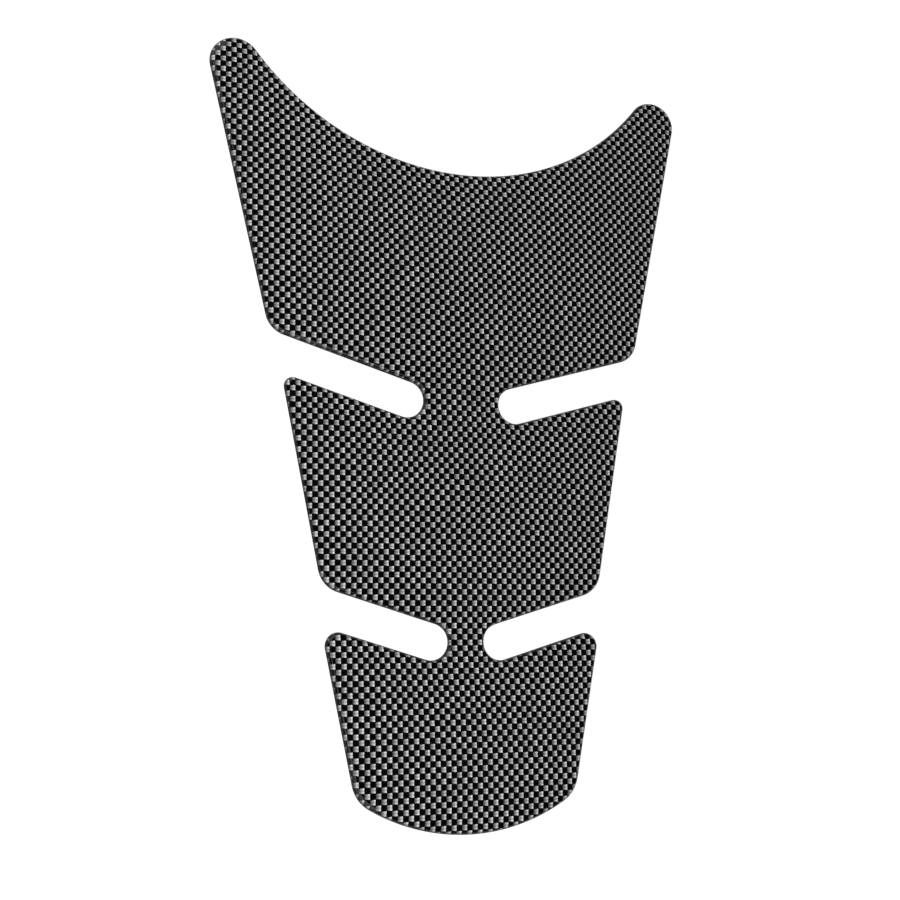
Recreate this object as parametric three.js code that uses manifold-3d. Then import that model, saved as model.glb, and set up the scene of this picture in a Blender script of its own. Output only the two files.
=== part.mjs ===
// Motorcycle tank pad: one clear-domed printed sheet that sticks to the top of a fuel tank.
// It lies on its flat adhesive back at Z = 0, with the dome up, +Y towards the horns and X
// across. The origin is under the middle of its length and width. Millimetres throughout.
//
// Seen from above it is three panels on one spine. The upper panel carries two horns on
// either side of a hollow neckline, and a pair of rising slots parts each panel from the next.

import * as THREE from 'three';
import { mergeVertices } from 'three/addons/utils/BufferGeometryUtils.js';
import Module from 'manifold-3d';

const wasm = await Module();
wasm.setup();

// Overall size
const LENGTH = 215; // from the foot to the horn tips
const WIDTH = 146; // across the horns

// Upper panel
const HORN_RADIUS = 7.3;
const NECKLINE_DEPTH = 31.5; // from the horn tips down to the lowest point between them
const UPPER_BOTTOM_WIDTH = 111; // across the lower corners, measured where their edges would meet
const UPPER_CORNER_RADIUS = 7.3;

// Middle panel, its widths measured in the same way
const MIDDLE_TOP_WIDTH = 104;
const MIDDLE_TOP_RADIUS = 2.5;
const MIDDLE_BOTTOM_WIDTH = 81.4;
const MIDDLE_BOTTOM_RADIUS = 7.6;

// Lower panel, which ends in one wide curve
const LOWER_TOP_WIDTH = 81.8;
const LOWER_TOP_RADIUS = 3.6;
const LOWER_BOTTOM_WIDTH = 63.2;
const LOWER_CORNER_RADIUS = 9.4;
const FOOT_RADIUS = 56.5;

// Slots, a pair between two panels: each has a round inner end, placed by its height above
// the foot, and rises by so many degrees from there to the outside
const UPPER_SLOT_HEIGHT = 116;
const UPPER_SLOT_WIDTH = 10.2;
const UPPER_SLOT_RISE = 16.2;
const LOWER_SLOT_HEIGHT = 50;
const LOWER_SLOT_WIDTH = 9.8;
const LOWER_SLOT_RISE = 16.6;

// Spine left between the round ends of each pair
const UPPER_BRIDGE_WIDTH = 22.6;
const LOWER_BRIDGE_WIDTH = 10.4;

// Section: a sheet with a rounded rim, and a dome that swells gently away from every edge
const SHEET_THICKNESS = 0.3;
const RIM_HEIGHT = 1.7; // where the rounded rim ends and the gentle swell starts
const RIM_REACH = 1.5; // how far in from the edge that is
const DOME_HEIGHT = 3.1; // what the middle of a wide panel comes near to
const DOME_REACH = 9; // how slowly the swell gets there

// Fineness of the facets
const ARC_ERROR = 0.04; // how far a chord of a round corner may leave its arc
const RIM_STEPS = 3;
const DOME_FACET = 6; // side of the squares that the dome is divided into
const ROUNDING = 0.01; // heights closer than this are the same

const POLYURETHANE = new THREE.MeshStandardMaterial({
	name: 'domed_polyurethane',
	color: 0x4a4b4d,
	roughness: 0.25,
	metalness: 0,
});

const point = (x, y) => new THREE.Vector2(x, y);

// Points along an arc, which turns by the signed angle from start
function arc(centre, radius, start, turn) {
	const widest = 2 * Math.acos(1 - ARC_ERROR / radius);
	const steps = Math.max(2, Math.ceil(Math.abs(turn) / widest));
	const points = [];
	for (let i = 0; i <= steps; i++) {
		const angle = start + (turn * i) / steps;
		points.push(point(Math.cos(angle), Math.sin(angle)).multiplyScalar(radius).add(centre));
	}
	return points;
}

// The same arc between two points on it, going clockwise
function clockwiseArc(centre, radius, from, to) {
	const start = from.clone().sub(centre).angle();
	const end = to.clone().sub(centre).angle();
	return arc(centre, radius, start, -THREE.MathUtils.euclideanModulo(start - end, 2 * Math.PI));
}

// A corner of the given radius between the lines that join corner to before and after
function roundCorner(before, corner, after, radius) {
	const back = before.clone().sub(corner).normalize();
	const ahead = after.clone().sub(corner).normalize();
	const half = back.angleTo(ahead) / 2;
	const middle = back.clone().add(ahead).normalize();
	const centre = corner.clone().addScaledVector(middle, radius / Math.sin(half));
	const reach = radius / Math.tan(half);
	return clockwiseArc(
		centre,
		radius,
		corner.clone().addScaledVector(back, reach),
		corner.clone().addScaledVector(ahead, reach),
	);
}

// Where a slot of the right side lies: its round end and the two edges that leave it
function slotEdges(height, width, rise, bridge) {
	const angle = THREE.MathUtils.degToRad(rise);
	const along = point(Math.cos(angle), Math.sin(angle));
	const across = point(-along.y, along.x).multiplyScalar(width / 2);
	const centre = point((bridge + width) / 2, height - LENGTH / 2);
	const edge = (start) => ({
		start,
		atWidth: (full) => start.clone().addScaledVector(along, (full / 2 - start.x) / along.x),
	});
	return {
		end: arc(centre, width / 2, angle + Math.PI / 2, Math.PI),
		upper: edge(centre.clone().add(across)),
		lower: edge(centre.clone().sub(across)),
	};
}

// The right half of the outline, clockwise from the middle of the neckline to the foot
function halfOutline() {
	const neckline = point(0, LENGTH / 2 - NECKLINE_DEPTH);
	const horn = point(WIDTH / 2 - HORN_RADIUS, LENGTH / 2 - HORN_RADIUS);
	const rise = horn.y - neckline.y;
	const necklineRadius = (horn.x ** 2 + rise ** 2 - HORN_RADIUS ** 2) / (2 * (rise + HORN_RADIUS));
	const necklineCentre = point(0, neckline.y + necklineRadius);
	const toNeckline = necklineCentre.clone().sub(horn);
	const hornStart = toNeckline.clone().setLength(HORN_RADIUS).add(horn);

	const upperSlot = slotEdges(
		UPPER_SLOT_HEIGHT,
		UPPER_SLOT_WIDTH,
		UPPER_SLOT_RISE,
		UPPER_BRIDGE_WIDTH,
	);
	const lowerSlot = slotEdges(
		LOWER_SLOT_HEIGHT,
		LOWER_SLOT_WIDTH,
		LOWER_SLOT_RISE,
		LOWER_BRIDGE_WIDTH,
	);
	const upperCorner = upperSlot.upper.atWidth(UPPER_BOTTOM_WIDTH);
	const middleTop = upperSlot.lower.atWidth(MIDDLE_TOP_WIDTH);
	const middleBottom = lowerSlot.upper.atWidth(MIDDLE_BOTTOM_WIDTH);
	const lowerTop = lowerSlot.lower.atWidth(LOWER_TOP_WIDTH);

	// The outer side of the upper panel leaves its horn at a tangent
	const toHorn = horn.clone().sub(upperCorner);
	const lean = Math.asin(HORN_RADIUS / toHorn.length());
	const side = toHorn.clone().rotateAround(point(0, 0), -lean);
	const hornEnd = side.setLength(toHorn.length() * Math.cos(lean)).add(upperCorner);

	// The lower corner touches both the side of the lower panel and the wide curve of the foot
	const foot = point(0, -LENGTH / 2);
	const footCentre = point(0, foot.y + FOOT_RADIUS);
	const lowerBottom = point(LOWER_BOTTOM_WIDTH / 2, 0);
	lowerBottom.y = footCentre.y - Math.sqrt(FOOT_RADIUS ** 2 - lowerBottom.x ** 2);
	const down = lowerBottom.clone().sub(lowerTop).normalize();
	const inward = point(down.y, -down.x);
	const start = lowerTop.clone().addScaledVector(inward, LOWER_CORNER_RADIUS);
	const ahead = start.clone().sub(footCentre);
	const slide = -ahead.dot(down);
	const chord = (FOOT_RADIUS - LOWER_CORNER_RADIUS) ** 2 - ahead.lengthSq() + slide ** 2;
	const cornerCentre = start.clone().addScaledVector(down, slide + Math.sqrt(chord));
	const cornerStart = cornerCentre.clone().addScaledVector(inward, -LOWER_CORNER_RADIUS);
	const fromFoot = cornerCentre.clone().sub(footCentre);
	const cornerEnd = fromFoot.clone().setLength(FOOT_RADIUS).add(footCentre);

	return [
		...clockwiseArc(necklineCentre, necklineRadius, hornStart, neckline).reverse(),
		...clockwiseArc(horn, HORN_RADIUS, hornStart, hornEnd),
		...roundCorner(hornEnd, upperCorner, upperSlot.upper.start, UPPER_CORNER_RADIUS),
		...upperSlot.end,
		...roundCorner(upperSlot.lower.start, middleTop, middleBottom, MIDDLE_TOP_RADIUS),
		...roundCorner(middleTop, middleBottom, lowerSlot.upper.start, MIDDLE_BOTTOM_RADIUS),
		...lowerSlot.end,
		...roundCorner(lowerSlot.lower.start, lowerTop, lowerBottom, LOWER_TOP_RADIUS),
		...clockwiseArc(cornerCentre, LOWER_CORNER_RADIUS, cornerStart, cornerEnd),
		...clockwiseArc(footCentre, FOOT_RADIUS, cornerEnd, foot),
	];
}

// The whole outline, closed, with the left half mirrored from the right
function outline() {
	const right = halfOutline();
	const left = right.slice(1, -1).reverse();
	return [...right, ...left.map(({ x, y }) => point(-x, y))];
}

// How far a place lies inside the nearest edge, below zero where it lies outside
function depthInside(place, corners) {
	const nearest = new THREE.Vector3();
	const edge = new THREE.Line3();
	let distance = Infinity;
	let inside = false;
	corners.forEach(({ x, y }, i) => {
		const next = corners[(i + 1) % corners.length];
		edge.start.set(x, y, 0);
		edge.end.set(next.x, next.y, 0);
		edge.closestPointToPoint(place, true, nearest);
		distance = Math.min(distance, nearest.distanceTo(place));
		const crosses = y > place.y !== next.y > place.y;
		if (crosses && place.x < x + ((place.y - y) / (next.y - y)) * (next.x - x)) inside = !inside;
	});
	return inside ? distance : -distance;
}

// The sheet with its rounded rim, left standing tall inside the rim for the dome to trim
function blank(corners) {
	const geometry = new THREE.ExtrudeGeometry(new THREE.Shape(corners), {
		depth: SHEET_THICKNESS,
		bevelThickness: RIM_HEIGHT - SHEET_THICKNESS,
		bevelSize: RIM_REACH,
		bevelOffset: -RIM_REACH,
		bevelSegments: RIM_STEPS,
	});
	const { position } = geometry.attributes;
	for (let i = 0; i < position.count; i++) {
		if (position.getZ(i) > RIM_HEIGHT - ROUNDING) position.setZ(i, 2 * DOME_HEIGHT);
	}
	return geometry;
}

// All the space below the dome, which swells away from every edge
function underDome(corners) {
	const [width, length] = [WIDTH + DOME_FACET, LENGTH + DOME_FACET];
	const [columns, rows] = [width, length].map((size) => Math.round(size / DOME_FACET));
	const geometry = new THREE.BoxGeometry(width, length, 4 * DOME_HEIGHT, columns, rows);
	const { position } = geometry.attributes;
	const place = new THREE.Vector3();
	for (let i = 0; i < position.count; i++) {
		place.fromBufferAttribute(position, i);
		if (place.z < 0) continue;
		place.z = 0;
		const past = Math.max(depthInside(place, corners) - RIM_REACH, -DOME_FACET);
		position.setZ(i, RIM_HEIGHT + (DOME_HEIGHT - RIM_HEIGHT) * (1 - Math.exp(-past / DOME_REACH)));
	}
	return geometry;
}

// All the space below the flat adhesive back
function belowBack() {
	const geometry = new THREE.BoxGeometry(2 * WIDTH, 2 * LENGTH, 2 * DOME_HEIGHT);
	return geometry.translate(0, 0, -DOME_HEIGHT);
}

// A closed geometry as a solid that can be joined and cut
function solid(geometry) {
	geometry.deleteAttribute('normal');
	geometry.deleteAttribute('uv');
	const merged = mergeVertices(geometry);
	return new wasm.Manifold(
		new wasm.Mesh({
			numProp: 3,
			vertProperties: merged.attributes.position.array,
			triVerts: new Uint32Array(merged.index.array),
		}),
	);
}

// A solid back as a geometry
function surface(body) {
	const { vertProperties, triVerts } = body.getMesh();
	const geometry = new THREE.BufferGeometry();
	geometry.setAttribute('position', new THREE.BufferAttribute(vertProperties, 3));
	geometry.setIndex(new THREE.BufferAttribute(triVerts, 1));
	return geometry.toNonIndexed();
}

function tankPad() {
	const corners = outline();
	const tall = solid(blank(corners)).subtract(solid(belowBack()));
	const geometry = surface(tall.intersect(solid(underDome(corners))));
	geometry.computeVertexNormals();
	const pad = new THREE.Mesh(geometry, POLYURETHANE);
	pad.name = 'tank_pad';
	return pad;
}

const group = new THREE.Group();
group.name = 'motorcycle_tank_pad';
group.add(tankPad());

export default group;
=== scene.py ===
"""A motorcycle tank pad for Blender 4.5: one printed sheet under a clear dome, on a white floor.

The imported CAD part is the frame. Its node tank_pad stays for collision, and the pad modelled
here stands for it, with the same outline and section. The pad lies on its flat adhesive back at
Z = 0, with the dome up, +Y towards the horns and X across. The pad's classes hold sizes in
millimetres, and each finished mesh is in metres.
"""

import logging
import math
from collections.abc import Sequence
from dataclasses import dataclass, field
from enum import Enum
from typing import Any

import bmesh
import bpy
from mathutils import Euler, Matrix, Vector
from mathutils.bvhtree import BVHTree

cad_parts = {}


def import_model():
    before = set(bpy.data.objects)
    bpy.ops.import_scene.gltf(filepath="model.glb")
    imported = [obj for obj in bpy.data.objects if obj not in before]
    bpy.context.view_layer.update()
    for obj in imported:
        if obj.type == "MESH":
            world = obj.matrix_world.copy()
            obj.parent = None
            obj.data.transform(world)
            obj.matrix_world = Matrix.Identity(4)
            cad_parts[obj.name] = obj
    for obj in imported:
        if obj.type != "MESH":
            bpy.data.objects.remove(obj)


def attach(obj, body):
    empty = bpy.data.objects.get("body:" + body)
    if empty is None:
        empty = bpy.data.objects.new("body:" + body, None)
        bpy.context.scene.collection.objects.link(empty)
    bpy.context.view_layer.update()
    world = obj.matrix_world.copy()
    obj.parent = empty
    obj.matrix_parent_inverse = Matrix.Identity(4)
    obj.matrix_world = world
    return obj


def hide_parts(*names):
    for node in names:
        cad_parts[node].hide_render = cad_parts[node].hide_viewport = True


log = logging.getLogger("tank_pad")

METRES_PER_MM = 0.001
HALF = 0.5
ACROSS = Vector((1.0, 0.0, 0.0))
ALONG = Vector((0.0, 1.0, 0.0))
UP = Vector((0.0, 0.0, 1.0))
EDGE_DEPTH = "edge_depth"


class Surface(Enum):
    """The surfaces of the pad, by the number of their material slot."""

    DOME = 0
    CUT_EDGE = 1
    BACK = 2


def linear(colour: str) -> tuple[float, float, float, float]:
    """Turn an sRGB hex colour into the linear one that a shader takes.

    Args:
        colour: six hex digits, such as "c8c8c8".

    Returns:
        Linear red, green and blue, and an alpha of 1.
    """
    channels = [int(colour[i : i + 2], 16) / 255 for i in (0, 2, 4)]
    red, green, blue = (c / 12.92 if c <= 0.04045 else ((c + 0.055) / 1.055) ** 2.4 for c in channels)
    return red, green, blue, 1.0


def in_metres(*sizes: float) -> Vector:
    """Turn sizes in millimetres into a vector in metres."""
    return METRES_PER_MM * Vector(sizes)


def add_node(
    owner: bpy.types.Material | bpy.types.World,
    kind: str,
    inputs: dict[str | int, Any] | None = None,
    stops: Sequence[tuple[float, str]] = (),
    **settings: Any,
) -> bpy.types.Node:
    """Add one node, set it up and feed its sockets.

    Args:
        owner: the material or world that the node goes into.
        kind: the node's type, without ShaderNode in front.
        inputs: what each input takes: a socket, a node's first output in use, or a plain value.
        stops: places and sRGB hex colours along a colour ramp.
        settings: the node's own properties.

    Returns:
        The new node.
    """
    tree = owner.node_tree
    node = tree.nodes.new("ShaderNode" + kind)
    for name, value in settings.items():
        setattr(node, name, value)
    for key, source in (inputs or {}).items():
        by_name = (s for s in node.inputs if s.name == key and s.enabled)
        socket = node.inputs[key] if isinstance(key, int) else next(by_name)
        if isinstance(source, bpy.types.Node):
            source = next(s for s in source.outputs if s.enabled)
        if isinstance(source, bpy.types.NodeSocket):
            tree.links.new(source, socket)
        else:
            socket.default_value = source
    for i, (place, colour) in enumerate(stops):
        stop = node.color_ramp.elements[i] if i < 2 else node.color_ramp.elements.new(place)
        stop.position = place
        stop.color = linear(colour)
    return node


def new_material(name: str) -> bpy.types.Material:
    """Make a material of that name with no nodes in it yet."""
    made = bpy.data.materials.new(name)
    made.use_nodes = True
    made.node_tree.nodes.clear()
    return made


@dataclass(frozen=True)
class CarbonPrint:
    """Carbon look ink print on cast vinyl film, under clear polyurethane that was poured to a dome.

    The eye sees light warp tows and black weft tows that cross in a plain weave, flat and evenly
    lit because they are printed, under a smooth gloss. Where the print is seen through the rounded
    rim of the resin, it is a little blurred and darkened by painted shade.

    The pitch is the width of one tow, and the corner is a place where four tows meet. A fade is
    the share of a tow over which a light one dips under its neighbour.
    """

    warp_pitch: float = 1.4883
    warp_turn: float = 0.616
    weft_pitch: float = 1.4945
    weft_turn: float = 0.388
    corner: tuple[float, float] = (-5.255, -3.173)
    dark_side_fade: float = 0.3
    light_side_fade: float = 0.08
    warp_across: tuple[tuple[float, str], ...] = (
        (0.0, "080808"),
        (0.1, "545454"),
        (0.2, "808080"),
        (0.5, "b0b0b0"),
        (0.78, "f4f4f4"),
        (0.92, "f0f0f0"),
        (1.0, "b0b0b0"),
    )
    warp_along: tuple[tuple[float, str], ...] = (
        (0.0, "ffffff"),
        (0.14, "ffffff"),
        (0.5, "b8b8b8"),
        (0.86, "ffffff"),
        (1.0, "ffffff"),
    )
    weft_along: tuple[tuple[float, str], ...] = ((0.0, "010101"), (0.5, "060606"), (1.0, "010101"))
    filament: float = 0.25
    filament_length: float = 3.0
    filament_contrast: float = 0.5
    tow_contrast: float = 0.16
    blur: str = "5a5a5a"
    edge_blur: float = 0.1
    blur_depth: float = 0.6
    # Painted shade at the rim: the share of light left at the cut edge, and the depth inside the edge over
    # which full light comes back.
    painted_edge_light: float = 0.1
    painted_shade_depth: float = 0.6
    print_roughness: float = 0.55
    print_specular: float = 0.02
    resin_gloss: float = 0.35
    resin_ior: float = 1.5
    resin_roughness: float = 0.03

    def material(self) -> bpy.types.Material:
        """Build the print and the clear resin on it as one material."""
        made = new_material("carbon_print_under_domed_polyurethane")
        colour = self.under_rim(made, self.weave(made))
        flat = add_node(
            made,
            "VectorTransform",
            {"Vector": UP},
            vector_type="NORMAL",
            convert_from="OBJECT",
            convert_to="WORLD",
        )
        shader = add_node(
            made,
            "BsdfPrincipled",
            {
                "Base Color": colour,
                "Normal": flat,
                "Roughness": self.print_roughness,
                "Specular IOR Level": self.print_specular,
                "Coat Weight": self.resin_gloss,
                "Coat Roughness": self.resin_roughness,
                "Coat IOR": self.resin_ior,
            },
        )
        add_node(made, "OutputMaterial", {"Surface": shader})
        return made

    def weave(self, made: bpy.types.Material) -> bpy.types.Node:
        """Print the plain weave over the plane of the film.

        Args:
            made: the material to build in.

        Returns:
            The node with the colour of the print.
        """
        place = add_node(made, "TexCoord")
        from_corner = add_node(
            made,
            "VectorMath",
            {0: place.outputs["Object"], 1: in_metres(*self.corner, 0.0)},
            operation="SUBTRACT",
        )
        tows = []
        for turn, way, pitch in (
            (self.warp_turn, ACROSS, self.warp_pitch),
            (self.weft_turn, ALONG, self.weft_pitch),
        ):
            per_metre = Matrix.Rotation(math.radians(turn), 3, UP) @ way / (METRES_PER_MM * pitch)
            counted = add_node(made, "VectorMath", {0: from_corner, 1: per_metre}, operation="DOT_PRODUCT")
            tows.append(counted.outputs["Value"])
        half_turns = [add_node(made, "Math", {0: tow, 1: math.pi}, operation="MULTIPLY") for tow in tows]
        waves = [add_node(made, "Math", {0: turns}, operation="SINE") for turns in half_turns]
        crossing = add_node(made, "Math", {0: waves[0], 1: waves[1]}, operation="MULTIPLY")
        checks = add_node(made, "Math", {0: crossing, 1: 0.0}, operation="GREATER_THAN")
        from_end = add_node(made, "Math", {0: tows[1], 1: HALF}, operation="PINGPONG")
        shares = [add_node(made, "Math", {0: tow}, operation="FRACT") for tow in tows]
        fade = add_node(
            made,
            "MapRange",
            {"Value": shares[0], "To Min": self.dark_side_fade, "To Max": self.light_side_fade},
        )
        warp_on_top = add_node(
            made,
            "MapRange",
            {"Value": from_end, "From Max": fade, "To Max": checks},
            interpolation_type="SMOOTHSTEP",
        )
        across = add_node(made, "ValToRGB", {"Fac": shares[0]}, self.warp_across)
        along = add_node(made, "ValToRGB", {"Fac": shares[1]}, self.warp_along)
        warp = add_node(
            made,
            "Mix",
            {"Factor": 1.0, "A": across, "B": along},
            data_type="RGBA",
            blend_type="MULTIPLY",
        )
        weft = add_node(made, "ValToRGB", {"Fac": shares[0]}, self.weft_along)
        woven = add_node(made, "Mix", {"Factor": warp_on_top, "A": weft, "B": warp}, data_type="RGBA")
        return self.filaments(made, woven, tows)

    def filaments(
        self, made: bpy.types.Material, woven: bpy.types.Node, tows: list[bpy.types.NodeSocket]
    ) -> bpy.types.Node:
        """Vary the grey from tow to tow and along the filaments in each.

        Real filaments are finer than a hundredth of a millimetre, so bundles of them are drawn.

        Args:
            made: the material to build in.
            woven: the node with the colour of the plain weave.
            tows: how many tows a place lies from the corner, across and along.

        Returns:
            The node with the varied colour.
        """
        counts = (self.warp_pitch / self.filament, self.weft_pitch / self.filament_length)
        spread = [
            add_node(made, "Math", {0: tow, 1: count}, operation="MULTIPLY")
            for tow, count in zip(tows, counts, strict=True)
        ]
        stretched = add_node(made, "CombineXYZ", {"X": spread[0], "Y": spread[1]})
        bundles = add_node(made, "TexNoise", {"Vector": stretched, "Scale": 1.0, "Detail": 1.0})
        whole = [add_node(made, "Math", {0: tow}, operation="FLOOR") for tow in tows]
        tow_number = add_node(made, "CombineXYZ", {"X": whole[0], "Y": whole[1]})
        chance = add_node(made, "TexWhiteNoise", {"Vector": tow_number}, noise_dimensions="3D")
        shades = [
            add_node(made, "MapRange", {"Value": source, "To Min": 1 - contrast, "To Max": 1 + contrast})
            for source, contrast in (
                (bundles.outputs[0], self.filament_contrast),
                (chance.outputs["Value"], self.tow_contrast),
            )
        ]
        both = add_node(made, "Math", {0: shades[0], 1: shades[1]}, operation="MULTIPLY")
        return add_node(
            made,
            "Mix",
            {"Factor": 1.0, "A": woven, "B": both},
            data_type="RGBA",
            blend_type="MULTIPLY",
        )

    def under_rim(self, made: bpy.types.Material, print_colour: bpy.types.Node) -> bpy.types.Node:
        """Blur the print under the rounded rim, and darken it there with painted shade.

        Args:
            made: the material to build in.
            print_colour: the node with the colour of the flat print.

        Returns:
            The node with the colour that shows.
        """
        depth = add_node(made, "Attribute", attribute_name=EDGE_DEPTH)
        blur = add_node(
            made,
            "MapRange",
            {
                "Value": depth.outputs["Fac"],
                "From Max": self.blur_depth,
                "To Min": self.edge_blur,
                "To Max": 0.0,
            },
        )
        blurred = add_node(
            made,
            "Mix",
            {"Factor": blur, "A": print_colour, "B": linear(self.blur)},
            data_type="RGBA",
        )
        # Painted shade: the print is darkened towards the cut edge, most at the edge itself.
        light = add_node(
            made,
            "MapRange",
            {"Value": depth.outputs["Fac"], "From Max": self.painted_shade_depth, "To Min": self.painted_edge_light},
        )
        return add_node(
            made,
            "Mix",
            {"Factor": 1.0, "A": blurred, "B": light},
            data_type="RGBA",
            blend_type="MULTIPLY",
        )


@dataclass(frozen=True)
class CutVinyl:
    """Black cast vinyl film, cut by a knife plotter.

    The eye sees its edge as a thin matt dark line round the foot of the pad.
    """

    colour: str = "0a0a0a"
    roughness: float = 0.6
    specular: float = 0.15

    def material(self) -> bpy.types.Material:
        """Build the film's cut edge."""
        made = new_material("cut_black_vinyl_film")
        shader = add_node(
            made,
            "BsdfPrincipled",
            {
                "Base Color": linear(self.colour),
                "Roughness": self.roughness,
                "Specular IOR Level": self.specular,
            },
        )
        add_node(made, "OutputMaterial", {"Surface": shader})
        return made


@dataclass(frozen=True)
class PressureAdhesive:
    """Grey acrylic pressure adhesive, roll coated on the back of the film.

    The eye sees a soft grey with a dull tacky sheen, and the faint broad streaks of the roller.
    """

    coating: tuple[tuple[float, str], ...] = ((0.3, "7d7f80"), (0.7, "8b8d8e"))
    roughness: float = 0.42
    ior: float = 1.47
    streak_width: float = 6.0
    streak_length: float = 30.0

    def material(self) -> bpy.types.Material:
        """Build the adhesive coating."""
        made = new_material("grey_pressure_adhesive")
        place = add_node(made, "TexCoord")
        sizes = (self.streak_width, self.streak_length, self.streak_width)
        rolled = add_node(
            made,
            "Mapping",
            {
                "Vector": place.outputs["Object"],
                "Scale": [1 / (METRES_PER_MM * size) for size in sizes],
            },
        )
        streaks = add_node(made, "TexNoise", {"Vector": rolled, "Scale": 1.0})
        colour = add_node(made, "ValToRGB", {"Fac": streaks}, self.coating)
        shader = add_node(
            made,
            "BsdfPrincipled",
            {"Base Color": colour, "Roughness": self.roughness, "IOR": self.ior},
        )
        add_node(made, "OutputMaterial", {"Surface": shader})
        return made


@dataclass
class PlotterKnife:
    """A knife that cuts a chain of lines and arcs in the plane of the film."""

    cut: bmesh.types.BMesh
    tip: bmesh.types.BMVert
    chord: float = 0.7
    fewest: int = 4

    def line(self, end: Vector) -> None:
        """Cut straight to that place."""
        grown = bmesh.ops.extrude_vert_indiv(self.cut, verts=[self.tip])
        self.tip = grown["verts"][0]
        self.tip.co = end.to_3d()

    def arc(self, centre: Vector, turn: float) -> None:
        """Cut along a circle.

        Args:
            centre: the middle of the circle.
            turn: the angle to go round it in radians, above zero anticlockwise.
        """
        radius = (self.tip.co.xy - centre).length
        steps = max(self.fewest, math.ceil(radius * abs(turn) / self.chord))
        spun = bmesh.ops.spin(
            self.cut,
            geom=[self.tip],
            cent=centre.to_3d(),
            axis=UP,
            angle=turn,
            steps=steps,
        )
        self.tip = spun["geom_last"][0]

    def arc_to(self, centre: Vector, way: Vector) -> None:
        """Cut along a circle, the short way, until the tip lies that way from its centre."""
        self.arc(centre, turn_between(self.tip.co.xy - centre, way))

    def corner(self, apex: Vector, after: Vector, radius: float) -> None:
        """Cut towards an apex and round it, ready to go on to the place after it.

        Args:
            apex: where the two straight sides would meet.
            after: a place on the second side.
            radius: the radius of the round.
        """
        towards = (apex - self.tip.co.xy).normalized()
        turn = turn_between(towards, after - apex)
        start = apex - towards * radius * math.tan(abs(turn) / 2)
        self.line(start)
        inward = math.copysign(radius, turn) * towards.orthogonal()
        self.arc(start + inward, turn)


def turn_between(start: Vector, end: Vector) -> float:
    """Measure the short way round from one flat direction to another, anticlockwise above zero."""
    return math.atan2(start.cross(end), start.dot(end))


@dataclass(frozen=True)
class Slot:
    """One slot of the right side: a round inner end and two edges that rise to the outside."""

    height: float
    width: float
    rise: float
    bridge: float

    def end_centre(self, foot: float) -> Vector:
        """Place the centre of the round end, above the foot of the pad."""
        return Vector(((self.bridge + self.width) / 2, foot + self.height))

    def edge_at(self, foot: float, side: int, full_width: float | None = None) -> Vector:
        """Find a place on an edge of the slot.

        Args:
            foot: the height of the pad's foot.
            side: 1 for the upper edge and -1 for the lower one.
            full_width: twice the distance from the spine, or None for the start of the edge.

        Returns:
            The place.
        """
        angle = math.radians(self.rise)
        along = Vector((math.cos(angle), math.sin(angle)))
        start = self.end_centre(foot) + side * self.width / 2 * along.orthogonal()
        if full_width is None:
            return start
        return start + along * (full_width / 2 - start.x) / along.x


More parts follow.
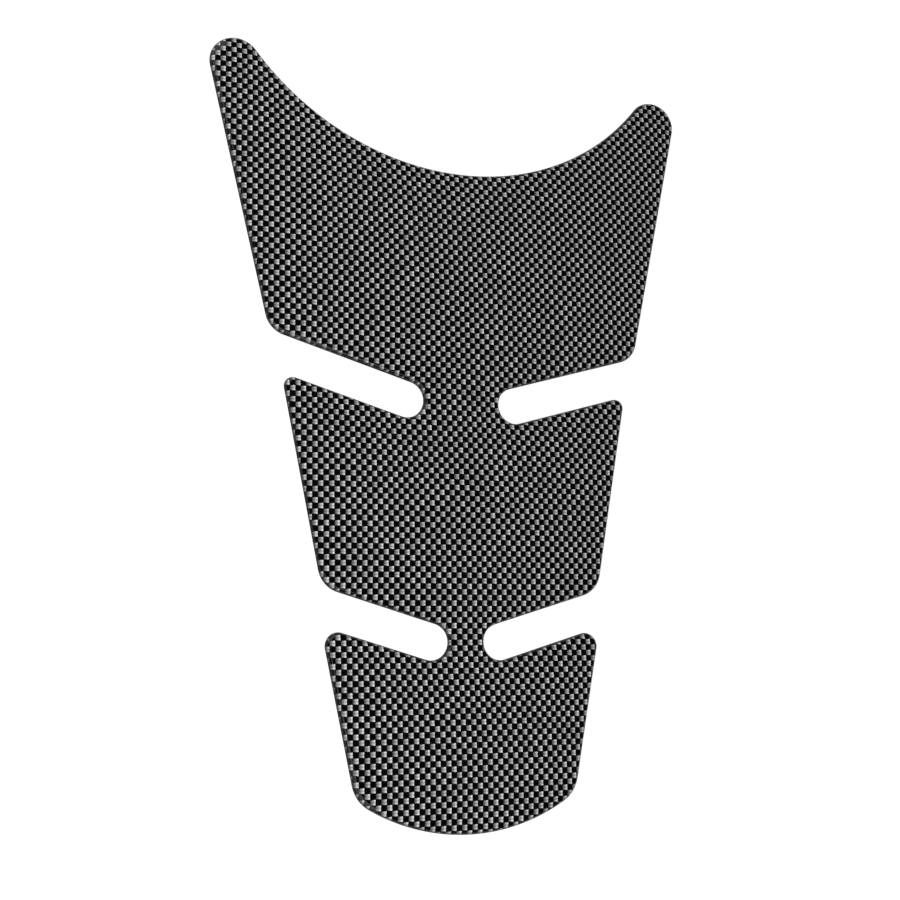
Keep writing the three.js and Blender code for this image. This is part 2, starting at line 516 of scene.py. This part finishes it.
@dataclass(frozen=True)
class PadOutline:
    """The cut outline of the pad: two horns, three panels, and a pair of slots between panels."""

    length: float = 215.0
    width: float = 146.0
    horn_radius: float = 7.3
    neckline_depth: float = 31.5
    upper_bottom_width: float = 111.0
    upper_corner_radius: float = 7.3
    middle_top_width: float = 104.0
    middle_top_radius: float = 2.5
    middle_bottom_width: float = 81.4
    middle_bottom_radius: float = 7.6
    lower_top_width: float = 81.8
    lower_top_radius: float = 3.6
    lower_bottom_width: float = 63.2
    lower_corner_radius: float = 9.4
    foot_radius: float = 56.5
    upper_slot: Slot = Slot(height=116.0, width=10.2, rise=16.2, bridge=22.6)
    lower_slot: Slot = Slot(height=50.0, width=9.8, rise=16.6, bridge=10.4)
    weld: float = 0.01

    def cut_right_half(self) -> bmesh.types.BMesh:
        """Cut the right half clockwise, from the middle of the neckline to the foot."""
        foot = -self.length / 2
        horn = Vector((self.width, self.length)) / 2 - Vector((self.horn_radius, self.horn_radius))
        neckline = Vector((0.0, self.length / 2 - self.neckline_depth))
        rise = horn.y - neckline.y
        span = horn.x**2 + rise**2 - self.horn_radius**2
        neckline_centre = neckline + Vector((0.0, span / (2 * (rise + self.horn_radius))))

        upper_corner = self.upper_slot.edge_at(foot, 1, self.upper_bottom_width)
        middle_top = self.upper_slot.edge_at(foot, -1, self.middle_top_width)
        middle_bottom = self.lower_slot.edge_at(foot, 1, self.middle_bottom_width)
        lower_top = self.lower_slot.edge_at(foot, -1, self.lower_top_width)

        cut = bmesh.new()
        knife = PlotterKnife(cut, cut.verts.new(neckline.to_3d()))
        knife.arc_to(neckline_centre, horn - neckline_centre)
        knife.arc_to(horn, self.horn_side(horn, upper_corner))
        knife.corner(upper_corner, self.upper_slot.edge_at(foot, 1), self.upper_corner_radius)
        knife.line(self.upper_slot.edge_at(foot, 1))
        knife.arc(self.upper_slot.end_centre(foot), math.pi)
        knife.corner(middle_top, middle_bottom, self.middle_top_radius)
        knife.corner(middle_bottom, self.lower_slot.edge_at(foot, 1), self.middle_bottom_radius)
        knife.line(self.lower_slot.edge_at(foot, 1))
        knife.arc(self.lower_slot.end_centre(foot), math.pi)
        self.cut_lower_side(knife, lower_top)
        return cut

    def horn_side(self, horn: Vector, upper_corner: Vector) -> Vector:
        """Find which way from the horn's centre its round meets the straight outer side."""
        reach = upper_corner - horn
        lean = math.acos(self.horn_radius / reach.length)
        return Matrix.Rotation(lean, 2) @ reach

    def cut_lower_side(self, knife: PlotterKnife, lower_top: Vector) -> None:
        """Cut the side of the lower panel, the round below it and the wide curve of the foot.

        Args:
            knife: the knife, at the end of the lower slot's round end.
            lower_top: where the slot's edge and the side would meet.
        """
        foot_centre = Vector((0.0, self.foot_radius - self.length / 2))
        bottom_x = self.lower_bottom_width / 2
        bottom = foot_centre + Vector((bottom_x, -math.sqrt(self.foot_radius**2 - bottom_x**2)))
        down = (bottom - lower_top).normalized()
        inward = -down.orthogonal()
        ahead = lower_top + inward * self.lower_corner_radius - foot_centre
        between = self.foot_radius - self.lower_corner_radius
        slide = -ahead.dot(down) + math.sqrt(between**2 - ahead.length_squared + ahead.dot(down) ** 2)
        corner_centre = foot_centre + ahead + slide * down

        knife.corner(lower_top, bottom, self.lower_top_radius)
        knife.line(corner_centre - inward * self.lower_corner_radius)
        knife.arc_to(corner_centre, corner_centre - foot_centre)
        knife.arc_to(foot_centre, Vector((0.0, -1.0)))

    def cut_film(self) -> bmesh.types.BMesh:
        """Cut both halves and fill them as one flat face at Z = 0."""
        film = self.cut_right_half()
        whole = film.verts[:] + film.edges[:]
        bmesh.ops.mirror(film, geom=whole, matrix=Matrix.Identity(4), merge_dist=self.weld, axis="X")
        filled = bmesh.ops.contextual_create(film, geom=film.edges[:])
        bmesh.ops.reverse_faces(film, faces=filled["faces"])
        return film


@dataclass
class DomedPad:
    """The pad: the film, the rounded rim of resin on it, and the dome that swells inside."""

    outline: PadOutline = field(default_factory=PadOutline)
    film: float = 0.3
    film_margin: float = 0.05
    rim_height: float = 1.7
    rim_reach: float = 1.5
    rim_steps: int = 9
    dome_height: float = 3.1
    dome_reach: float = 9.0
    facet: float = 1.5
    smoothing: int = 14
    smooth_share: float = HALF
    smooth_inside: float = 3.2

    def build(self) -> bpy.types.Object:
        """Model the pad, give each surface its finish and set it on its body."""
        pad = self.outline.cut_film()
        fence = self.fence(pad)
        dome = self.raise_rim(pad)
        self.divide(pad, dome)
        self.swell(pad, fence)
        bmesh.ops.scale(pad, vec=[METRES_PER_MM] * 3, verts=pad.verts)
        mesh = bpy.data.meshes.new("domed_pad")
        pad.to_mesh(mesh)
        pad.free()
        for finish in (CarbonPrint(), CutVinyl(), PressureAdhesive()):
            mesh.materials.append(finish.material())
        piece = bpy.data.objects.new(mesh.name, mesh)
        bpy.context.scene.collection.objects.link(piece)
        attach(piece, "root")
        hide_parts("tank_pad")
        return piece

    def fence(self, pad: bmesh.types.BMesh) -> BVHTree:
        """Stand a wall on the outline, from which the depth inside the edge is measured."""
        wall = pad.copy()
        bmesh.ops.delete(wall, geom=wall.faces[:], context="FACES_ONLY")
        raised = bmesh.ops.extrude_edge_only(wall, edges=wall.edges[:])
        tops = [part for part in raised["geom"] if isinstance(part, bmesh.types.BMVert)]
        bmesh.ops.translate(wall, verts=tops, vec=UP * self.dome_height)
        tree = BVHTree.FromBMesh(wall)
        wall.free()
        return tree

    def rim_profile(self) -> list[tuple[float, float]]:
        """Trace the section of the rim, a quarter ellipse up to where the dome goes on from it.

        Returns:
            The depth inside the edge and the height of each step, in order.
        """
        rise = self.rim_height - self.film
        reach = self.rim_reach - self.film_margin
        dome_slope = (self.dome_height - self.rim_height) / self.dome_reach
        end = math.atan(rise / reach / dome_slope)
        angles = [end * step / self.rim_steps for step in range(self.rim_steps + 1)]
        return [
            (self.film_margin + reach * (1 - math.cos(angle)), self.film + rise * math.sin(angle))
            for angle in angles
        ]

    def raise_rim(self, pad: bmesh.types.BMesh) -> bmesh.types.BMFace:
        """Thicken the film and round the rim of the resin on it.

        Args:
            pad: the flat film, which becomes the back.

        Returns:
            The flat face that the rim closes round.
        """
        depth = pad.verts.layers.float.new(EDGE_DEPTH)
        pad.faces.ensure_lookup_table()
        raised = bmesh.ops.extrude_face_region(pad, geom=pad.faces[:])
        tops = [part for part in raised["geom"] if isinstance(part, bmesh.types.BMVert)]
        bmesh.ops.translate(pad, verts=tops, vec=UP * self.film)
        pad.normal_update()
        dome = max(pad.faces, key=lambda face: face.normal.z)
        for face in pad.faces:
            face.material_index = Surface.CUT_EDGE.value
        back = min(pad.faces, key=lambda face: face.normal.z)
        back.material_index = Surface.BACK.value

        dome.material_index = Surface.DOME.value
        inset = 0.0
        height = self.film
        for place, top in self.rim_profile():
            bmesh.ops.inset_region(pad, faces=[dome], thickness=place - inset, use_even_offset=True)
            bmesh.ops.translate(pad, verts=dome.verts, vec=UP * (top - height))
            inset, height = place, top
            for vert in dome.verts:
                vert[depth] = inset
        return dome

    def divide(self, pad: bmesh.types.BMesh, dome: bmesh.types.BMFace) -> None:
        """Cut the face inside the rim into squares, so that it can swell.

        Args:
            pad: the pad so far.
            dome: the flat face inside the rim.
        """
        pieces = [dome, *dome.edges, *dome.verts]
        for axis, size in enumerate((self.outline.width, self.outline.length)):
            across = Vector([float(axis == i) for i in range(3)])
            lines = 2 * math.ceil(size / 2 / self.facet)
            for line in range(lines):
                place = (line + HALF - lines / 2) * self.facet
                cut = bmesh.ops.bisect_plane(
                    pad,
                    geom=pieces,
                    dist=self.outline.weld,
                    plane_co=across * place,
                    plane_no=across,
                )
                pieces = cut["geom"]

    def swell(self, pad: bmesh.types.BMesh, fence: BVHTree) -> None:
        """Lift the inside of the dome by how deep it lies inside the edge."""
        depth = pad.verts.layers.float[EDGE_DEPTH]
        rim_depth, rim_top = self.rim_profile()[-1]
        inner = []
        for vert in pad.verts:
            if vert.co.z < rim_top - self.outline.weld:
                continue
            _, _, _, vert[depth] = fence.find_nearest(vert.co)
            past = max(vert[depth] - rim_depth, 0.0)
            swell = (self.dome_height - self.rim_height) * (1 - math.exp(-past / self.dome_reach))
            vert.co.z = rim_top + swell
            if vert[depth] > self.smooth_inside:
                inner.append(vert)
        for _ in range(self.smoothing):
            bmesh.ops.smooth_vert(pad, verts=inner, factor=self.smooth_share, use_axis_z=True)
        for edge in pad.edges:
            finishes = {face.material_index for face in edge.link_faces}
            edge.smooth = len(finishes) == 1
        for face in pad.faces:
            face.smooth = True


@dataclass(frozen=True)
class Softbox:
    """A square soft lamp that faces the pad, with sizes in metres and its power in watts."""

    name: str
    azimuth: float
    height: float
    distance: float
    size: float
    power: float

    def hang(self) -> None:
        """Hang the lamp and aim it at the middle of the pad."""
        data = bpy.data.lights.new(self.name, "AREA")
        data.shape = "SQUARE"
        data.size = self.size
        data.energy = self.power
        lamp = bpy.data.objects.new(self.name, data)
        turn, lift = math.radians(self.azimuth), math.radians(self.height)
        away = Vector((math.cos(turn) * math.cos(lift), math.sin(turn) * math.cos(lift), math.sin(lift)))
        lamp.location = away * self.distance
        lamp.rotation_euler = away.to_track_quat("Z", "Y").to_euler()
        lamp.visible_camera = False
        bpy.context.scene.collection.objects.link(lamp)


@dataclass
class Studio:
    """A white floor that turns up into a backdrop, under soft lamps. Its sizes are in metres."""

    radius: float = 2.2
    sides: int = 96
    backdrop: float = 0.5
    gap: float = 0.00005
    floor_colour: str = "e6e6e6"
    shown_colour: str = "ffffff"
    white_level: float = 1.13
    shadow_share: float = 0.15
    ambient: str = "303030"
    softboxes: tuple[Softbox, ...] = (
        Softbox("upper_softbox", azimuth=130, height=28, distance=0.6, size=0.62, power=3.32),
        Softbox("lower_softbox", azimuth=235, height=35, distance=0.42, size=0.4, power=1.62),
    )

    def build(self) -> None:
        """Lay the floor, hang the lamps and set the dim light of the room."""
        floor = bmesh.new()
        bmesh.ops.create_circle(floor, cap_ends=True, segments=self.sides, radius=self.radius)
        rim = [edge for edge in floor.edges if edge.is_boundary]
        raised = bmesh.ops.extrude_edge_only(floor, edges=rim)
        tops = [part for part in raised["geom"] if isinstance(part, bmesh.types.BMVert)]
        bmesh.ops.translate(floor, verts=tops, vec=UP * self.backdrop)
        bmesh.ops.translate(floor, verts=floor.verts, vec=UP * -self.gap)
        mesh = bpy.data.meshes.new("studio_floor")
        floor.to_mesh(mesh)
        floor.free()
        mesh.materials.append(self.paper())
        stage = bpy.data.objects.new(mesh.name, mesh)
        bpy.context.scene.collection.objects.link(stage)
        for softbox in self.softboxes:
            softbox.hang()
        world = bpy.data.worlds.new("dim_room")
        world.use_nodes = True
        world.node_tree.nodes.clear()
        light = add_node(world, "Background", {"Color": linear(self.ambient)})
        add_node(world, "OutputWorld", {"Surface": light})
        bpy.context.scene.world = world

    def paper(self) -> bpy.types.Material:
        """Make the white paper, which shows as pure white but keeps a faint shadow."""
        made = new_material("white_background_paper")
        lit = add_node(made, "BsdfDiffuse", {"Color": linear(self.floor_colour)})
        shown_lit = add_node(made, "BsdfDiffuse", {"Color": linear(self.shown_colour)})
        white = add_node(made, "Emission", {"Strength": self.white_level})
        shown = add_node(made, "MixShader", {0: self.shadow_share, 1: white, 2: shown_lit})
        ray = add_node(made, "LightPath")
        sharp = add_node(
            made,
            "Math",
            {0: ray.outputs["Is Glossy Ray"], 1: ray.outputs["Is Transmission Ray"]},
            operation="MAXIMUM",
        )
        seen = add_node(made, "Math", {0: ray.outputs["Is Camera Ray"], 1: sharp}, operation="MAXIMUM")
        surface = add_node(made, "MixShader", {0: seen, 1: lit, 2: shown})
        add_node(made, "OutputMaterial", {"Surface": surface})
        return made


@dataclass(frozen=True)
class ProductCamera:
    """The camera, where the photograph was taken from: places in millimetres, turns in degrees."""

    place: tuple[float, float, float] = (-154.23, -73.04, 363.69)
    turn: tuple[float, float, float] = (12.4324, -22.2875, -1.0165)
    lens: float = 57.62
    sensor: float = 36.0
    shift: tuple[float, float] = (0.00161, -0.06265)
    nearest: float = 10.0

    def set_up(self) -> None:
        """Put the camera in place and make it the scene's."""
        data = bpy.data.cameras.new("product_camera")
        data.lens = self.lens
        data.sensor_width = self.sensor
        data.shift_x, data.shift_y = self.shift
        data.clip_start = METRES_PER_MM * self.nearest
        camera = bpy.data.objects.new(data.name, data)
        camera.location = in_metres(*self.place)
        camera.rotation_euler = Euler([math.radians(angle) for angle in self.turn])
        bpy.context.scene.collection.objects.link(camera)
        bpy.context.scene.camera = camera


def main() -> None:
    """Build the studio and the pad."""
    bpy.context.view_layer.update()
    bpy.context.scene.view_settings.view_transform = "Standard"
    ProductCamera().set_up()
    Studio().build()
    log.info("studio ready")
    pad = DomedPad().build()
    log.info("%s: %d faces", pad.name, len(pad.data.polygons))


if __name__ == "__main__":
    logging.basicConfig(level=logging.INFO, format="%(message)s")
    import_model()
    main()
